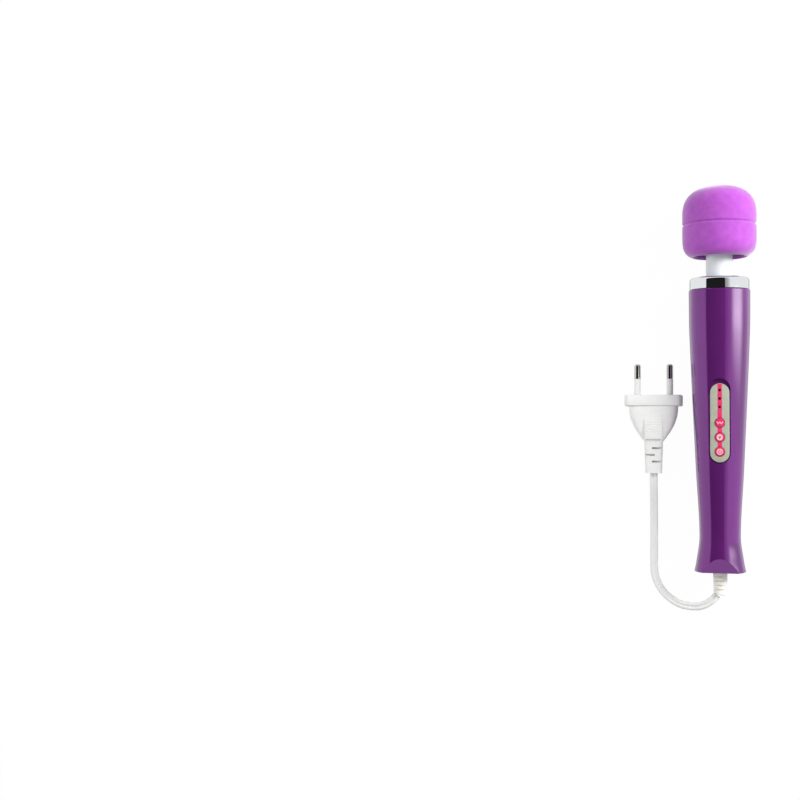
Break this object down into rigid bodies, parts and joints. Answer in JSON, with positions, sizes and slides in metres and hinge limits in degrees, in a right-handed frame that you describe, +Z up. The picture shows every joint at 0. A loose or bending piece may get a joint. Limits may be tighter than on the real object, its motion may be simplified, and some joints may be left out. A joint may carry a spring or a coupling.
{
  "type": "wand massager",
  "caption": "Handheld mains wand massager: vibrating soft head on a flexing neck, tapered handle with keypad, short lead and flat pin plug.",
  "frame": {"origin": "on the ground under the middle of the wand, cord left out", "axes": "+Y along the wand towards its head, +Z up out of the control panel, -X towards the plug"},
  "size_m": [0.0775, 0.2514, 0.0432],
  "materials": {
    "handle_purple": "glossy moulded ABS",
    "head_orchid": "matte soft silicone",
    "chrome_ring": "polished plating",
    "neck_white": "glossy moulded",
    "cord_white": "semi-gloss PVC",
    "plug_white": "satin moulded PVC",
    "panel_grey": "satin printed film",
    "button_pink": "glossy moulded",
    "dark_lens": "glossy",
    "inner_grey": "satin moulded",
    "black_plastic": "satin moulded",
    "steel": "turned",
    "pin_metal": "nickel plated",
    "copper": "wound enamelled wire on a steel core",
    "black_rubber": "matte",
    "board_green": "solder mask",
    "wire_red": "satin",
    "wire_blue": "satin",
    "wire_brown": "satin"
  },
  "bodies": {
    "handle": {"handle_front_shell": "handle_purple", "handle_back_shell": "handle_purple", "case_screw_1": "steel", "case_screw_2": "steel", "case_screw_3": "steel", "panel_overlay": "panel_grey", "keypad_frame": "black_plastic", "control_board": "board_green", "indicator_light_1": "dark_lens", "indicator_light_2": "dark_lens", "indicator_light_3": "dark_lens", "tact_switch_power": "steel", "tact_switch_slower": "steel", "tact_switch_pattern": "steel", "power_board": "board_green", "smoothing_capacitor": "black_plastic", "bridge_rectifier": "black_plastic", "mains_wire_live": "wire_brown", "mains_wire_neutral": "wire_blue", "motor_wire_minus": "wire_blue", "motor_wire_plus": "wire_red", "motor_can": "steel", "motor_end_cap": "black_plastic", "motor_magnet_left": "black_plastic", "motor_magnet_right": "black_plastic", "motor_mount_lower": "black_rubber", "motor_mount_upper": "black_rubber", "neck_bush": "black_rubber", "chrome_collar": "chrome_ring", "cord_strain_relief": "cord_white", "mains_cord": "cord_white", "plug_moulding": "plug_white", "plug_pin_left": "pin_metal", "plug_pin_right": "pin_metal", "pin_sleeve_left": "plug_white", "pin_sleeve_right": "plug_white"},
    "rotor": {"motor_rotor": "copper", "motor_shaft": "steel", "shaft_coupler": "steel"},
    "neck": {"neck_sleeve": "neck_white"},
    "spring": {"drive_spring": "steel"},
    "head": {"head_cover": "head_orchid", "head_flange": "inner_grey", "head_carrier": "inner_grey", "carrier_cap": "inner_grey", "bearing_lower": "steel", "bearing_upper": "steel"},
    "eccentric": {"eccentric_shaft": "steel", "eccentric_weight": "steel"},
    "button_power": {"button_power": "button_pink", "plunger_power": "black_plastic"},
    "button_slower": {"button_slower": "button_pink", "plunger_slower": "black_plastic"},
    "button_pattern": {"button_pattern": "button_pink", "plunger_pattern": "black_plastic"}
  },
  "joints": [
    {"name": "neck_nod", "type": "hinge", "parent": "handle", "child": "neck", "pos_m": [0, 0.06066, 0.02041], "axis": [1, 0, 0], "range_deg": [-5, 5], "stiffness_Nm_per_rad": 6},
    {"name": "head_sway", "type": "hinge", "parent": "neck", "child": "head", "pos_m": [0, 0.08285, 0.02116], "axis": [0, 0.0335, -0.9994], "range_deg": [-5, 5], "stiffness_Nm_per_rad": 6},
    {"name": "rotor_spin", "type": "hinge", "parent": "handle", "child": "rotor", "pos_m": [0, 0.01169, 0.01877], "axis": [0, 0.9994, 0.0335], "continuous": true},
    {"name": "spring_spin", "type": "hinge", "parent": "neck", "child": "spring", "pos_m": [0, 0.06066, 0.02041], "axis": [0, 0.9994, 0.0335], "continuous": true},
    {"name": "eccentric_spin", "type": "hinge", "parent": "head", "child": "eccentric", "pos_m": [0, 0.08285, 0.02116], "axis": [0, 0.9994, 0.0335], "continuous": true},
    {"name": "power_press", "type": "slide", "parent": "handle", "child": "button_power", "axis": [0, 0.0798, -0.9968], "range_m": [0, 0.0005], "stiffness_N_per_m": 800, "springref_m": -0.001},
    {"name": "slower_press", "type": "slide", "parent": "handle", "child": "button_slower", "axis": [0, 0.0798, -0.9968], "range_m": [0, 0.0005], "stiffness_N_per_m": 800, "springref_m": -0.001},
    {"name": "pattern_press", "type": "slide", "parent": "handle", "child": "button_pattern", "axis": [0, 0.0798, -0.9968], "range_m": [0, 0.0005], "stiffness_N_per_m": 800, "springref_m": -0.001}
  ],
  "couplings": [
    {"joint": "spring_spin", "follows": "rotor_spin", "ratio": 1},
    {"joint": "eccentric_spin", "follows": "rotor_spin", "ratio": 1}
  ]
}
